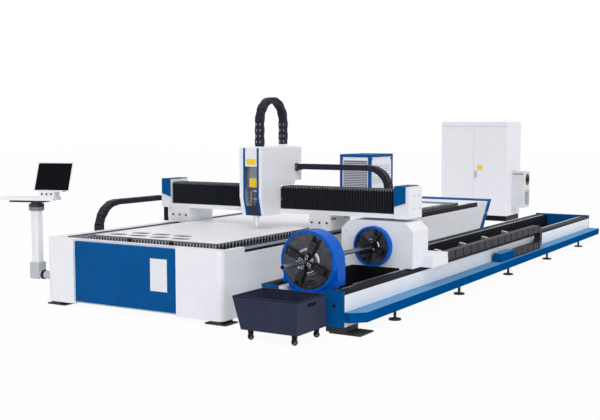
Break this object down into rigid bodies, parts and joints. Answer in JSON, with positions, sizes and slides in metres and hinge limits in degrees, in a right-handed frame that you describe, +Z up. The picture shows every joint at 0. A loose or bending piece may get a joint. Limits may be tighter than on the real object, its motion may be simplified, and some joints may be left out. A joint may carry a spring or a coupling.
{
  "type": "fiber laser cutting machine",
  "caption": "Sheet and tube fiber laser cutting machine: slatted flat bed with moving gantry and cutting head, side tube feeder with two chucks, console, chiller, cabinet and scrap cart.",
  "frame": {"origin": "on the floor, at the middle of the whole footprint", "axes": "+X across the bed from the console to the tube unit, +Y along the bed from the operator's end to the cabinet, +Z up"},
  "size_m": [3.994, 11.66, 2.0685],
  "materials": {
    "white_coat": "satin",
    "blue_coat": "satin",
    "chuck_blue": "gloss",
    "black_coat": "satin",
    "slate_coat": "satin",
    "pleat_cloth": "matte",
    "chain_plastic": "matte",
    "sheet_steel": "satin",
    "rail_steel": "ground",
    "slat_steel": "rough",
    "chuck_steel": "turned",
    "jaw_steel": "blackened",
    "tube_steel": "polished",
    "motor_black": "satin",
    "head_alloy": "machined",
    "casting_grey": "cast",
    "case_plastic": "fine texture",
    "button_black": "gloss",
    "panel_white": "satin",
    "foot_black": "matte",
    "caster_rubber": "matte",
    "laser_grey": "satin"
  },
  "bodies": {
    "base": {"bed_frame": "white_coat", "front_panel": "blue_coat", "rear_panel": "blue_coat", "feet": "foot_black", "table_frame": "black_coat", "slats": "slat_steel", "sheet_blank": "sheet_steel", "linear_rails": "rail_steel", "rail_covers": "black_coat", "tube_bed": "white_coat", "tube_bed_end_plates": "blue_coat", "tube_bed_flange": "blue_coat", "tube_supports": "rail_steel", "front_chuck_drum": "chuck_blue", "cabinet_body": "white_coat", "cabinet_plinth": "black_coat", "cabinet_cooler": "white_coat", "laser_source": "laser_grey", "chiller_frame": "blue_coat", "chiller_panels": "panel_white", "console_elbow": "casting_grey", "console_post": "white_coat", "cart_tub": "slate_coat", "cart_casters": "caster_rubber"},
    "gantry": {"gantry_beam": "white_coat", "gantry_end_covers": "white_coat", "gantry_end_panels": "blue_coat", "beam_rails": "rail_steel", "gantry_motors": "motor_black", "left_bellows": "pleat_cloth", "right_bellows": "pleat_cloth"},
    "carriage": {"carriage_plate": "slate_coat", "head_cover": "white_coat", "z_chain": "chain_plastic"},
    "z_slide": {"z_plate": "head_alloy", "cutting_head": "head_alloy"},
    "headstock": {"headstock_housing": "white_coat"},
    "rear_rotor": {"rear_chuck_rim": "chuck_blue", "rear_chuck_face": "chuck_steel", "tube": "tube_steel"},
    "front_rotor": {"front_chuck_face": "chuck_steel"},
    "console_head": {"console_tray": "white_coat", "monitor_case": "case_plastic"},
    "left_door": {"left_door": "white_coat"},
    "right_door": {"right_door": "white_coat"},
    "door_handle": {"door_handle": "motor_black"},
    "x_chain": {"x_chain": "chain_plastic"},
    "y_chain": {"y_chain": "chain_plastic"},
    "feed_chain": {"feed_chain": "chain_plastic"},
    "front_jaw_1": {"front_jaw_1": "jaw_steel"},
    "rear_jaw_1": {"rear_jaw_1": "jaw_steel"},
    "front_jaw_2": {"front_jaw_2": "jaw_steel"},
    "rear_jaw_2": {"rear_jaw_2": "jaw_steel"},
    "front_jaw_3": {"front_jaw_3": "jaw_steel"},
    "rear_jaw_3": {"rear_jaw_3": "jaw_steel"},
    "front_jaw_4": {"front_jaw_4": "jaw_steel"},
    "rear_jaw_4": {"rear_jaw_4": "jaw_steel"},
    "button_1": {"button_1": "button_black"},
    "button_2": {"button_2": "button_black"},
    "button_3": {"button_3": "button_black"}
  },
  "joints": [
    {"name": "gantry_slide", "type": "slide", "parent": "base", "child": "gantry", "axis": [0, 1, 0], "range_m": [-1.15, 4.1], "deforming": ["y_chain"]},
    {"name": "carriage_slide", "type": "slide", "parent": "gantry", "child": "carriage", "axis": [1, 0, 0], "range_m": [-1.05, 1.3], "deforming": ["x_chain", "left_bellows", "right_bellows"]},
    {"name": "height_slide", "type": "slide", "parent": "carriage", "child": "z_slide", "axis": [0, 0, 1], "range_m": [-0.009, 0.12], "deforming": ["z_chain"]},
    {"name": "headstock_slide", "type": "slide", "parent": "base", "child": "headstock", "axis": [0, 1, 0], "range_m": [-0.7, 5.3], "deforming": ["feed_chain"]},
    {"name": "front_spin", "type": "hinge", "parent": "base", "child": "front_rotor", "pos_m": [1.4215, -5.12, 0.585], "axis": [0, 1, 0], "continuous": true},
    {"name": "rear_spin", "type": "hinge", "parent": "headstock", "child": "rear_rotor", "pos_m": [1.4215, -3.82, 0.585], "axis": [0, 1, 0], "continuous": true},
    {"name": "front_jaw_1_slide", "type": "slide", "parent": "front_rotor", "child": "front_jaw_1", "axis": [0.4226, 0, 0.9063], "range_m": [0, 0.03]},
    {"name": "front_jaw_2_slide", "type": "slide", "parent": "front_rotor", "child": "front_jaw_2", "axis": [-0.9063, 0, 0.4226], "range_m": [0, 0.03]},
    {"name": "front_jaw_3_slide", "type": "slide", "parent": "front_rotor", "child": "front_jaw_3", "axis": [-0.4226, 0, -0.9063], "range_m": [0, 0.03]},
    {"name": "front_jaw_4_slide", "type": "slide", "parent": "front_rotor", "child": "front_jaw_4", "axis": [0.9063, 0, -0.4226], "range_m": [0, 0.03]},
    {"name": "rear_jaw_1_slide", "type": "slide", "parent": "rear_rotor", "child": "rear_jaw_1", "axis": [0.4226, 0, 0.9063], "range_m": [0, 0.034]},
    {"name": "rear_jaw_2_slide", "type": "slide", "parent": "rear_rotor", "child": "rear_jaw_2", "axis": [-0.9063, 0, 0.4226], "range_m": [0, 0.034]},
    {"name": "rear_jaw_3_slide", "type": "slide", "parent": "rear_rotor", "child": "rear_jaw_3", "axis": [-0.4226, 0, -0.9063], "range_m": [0, 0.034]},
    {"name": "rear_jaw_4_slide", "type": "slide", "parent": "rear_rotor", "child": "rear_jaw_4", "axis": [0.9063, 0, -0.4226], "range_m": [0, 0.034]},
    {"name": "console_swivel", "type": "hinge", "parent": "base", "child": "console_head", "pos_m": [-1.617, -5.35, 0.985], "axis": [0, 0, 1], "range_deg": [-60, 60]},
    {"name": "button_1_press", "type": "slide", "parent": "console_head", "child": "button_1", "axis": [-0.309, 0.9511, 0], "range_m": [0, 0.003], "stiffness_N_per_m": 400},
    {"name": "button_2_press", "type": "slide", "parent": "console_head", "child": "button_2", "axis": [-0.309, 0.9511, 0], "range_m": [0, 0.003], "stiffness_N_per_m": 400},
    {"name": "button_3_press", "type": "slide", "parent": "console_head", "child": "button_3", "axis": [-0.309, 0.9511, 0], "range_m": [0, 0.003], "stiffness_N_per_m": 400},
    {"name": "left_door_hinge", "type": "hinge", "parent": "base", "child": "left_door", "pos_m": [-1.547, 5.03, 0.9], "axis": [0, 0, -1], "range_deg": [0, 110]},
    {"name": "right_door_hinge", "type": "hinge", "parent": "base", "child": "right_door", "pos_m": [-0.247, 5.03, 0.9], "axis": [0, 0, 1], "range_deg": [0, 110]},
    {"name": "handle_turn", "type": "hinge", "parent": "right_door", "child": "door_handle", "pos_m": [-0.847, 5.03, 0.88], "axis": [0, 1, 0], "range_deg": [0, 90]},
    {"name": "x_chain_roll", "type": "slide", "parent": "carriage", "child": "x_chain", "axis": [1, 0, 0], "range_m": [-0.65, 0.525]},
    {"name": "y_chain_roll", "type": "slide", "parent": "gantry", "child": "y_chain", "axis": [0, 1, 0], "range_m": [-2.05, 0.575]},
    {"name": "feed_chain_roll", "type": "slide", "parent": "headstock", "child": "feed_chain", "axis": [0, 1, 0], "range_m": [-2.65, 0.35]}
  ],
  "couplings": [
    {"joint": "rear_spin", "follows": "front_spin", "ratio": 1},
    {"joint": "x_chain_roll", "follows": "carriage_slide", "ratio": -0.5},
    {"joint": "y_chain_roll", "follows": "gantry_slide", "ratio": -0.5},
    {"joint": "feed_chain_roll", "follows": "headstock_slide", "ratio": -0.5},
    {"joint": "front_jaw_2_slide", "follows": "front_jaw_1_slide", "ratio": 1},
    {"joint": "front_jaw_3_slide", "follows": "front_jaw_1_slide", "ratio": 1},
    {"joint": "front_jaw_4_slide", "follows": "front_jaw_1_slide", "ratio": 1},
    {"joint": "rear_jaw_2_slide", "follows": "rear_jaw_1_slide", "ratio": 1},
    {"joint": "rear_jaw_3_slide", "follows": "rear_jaw_1_slide", "ratio": 1},
    {"joint": "rear_jaw_4_slide", "follows": "rear_jaw_1_slide", "ratio": 1}
  ]
}
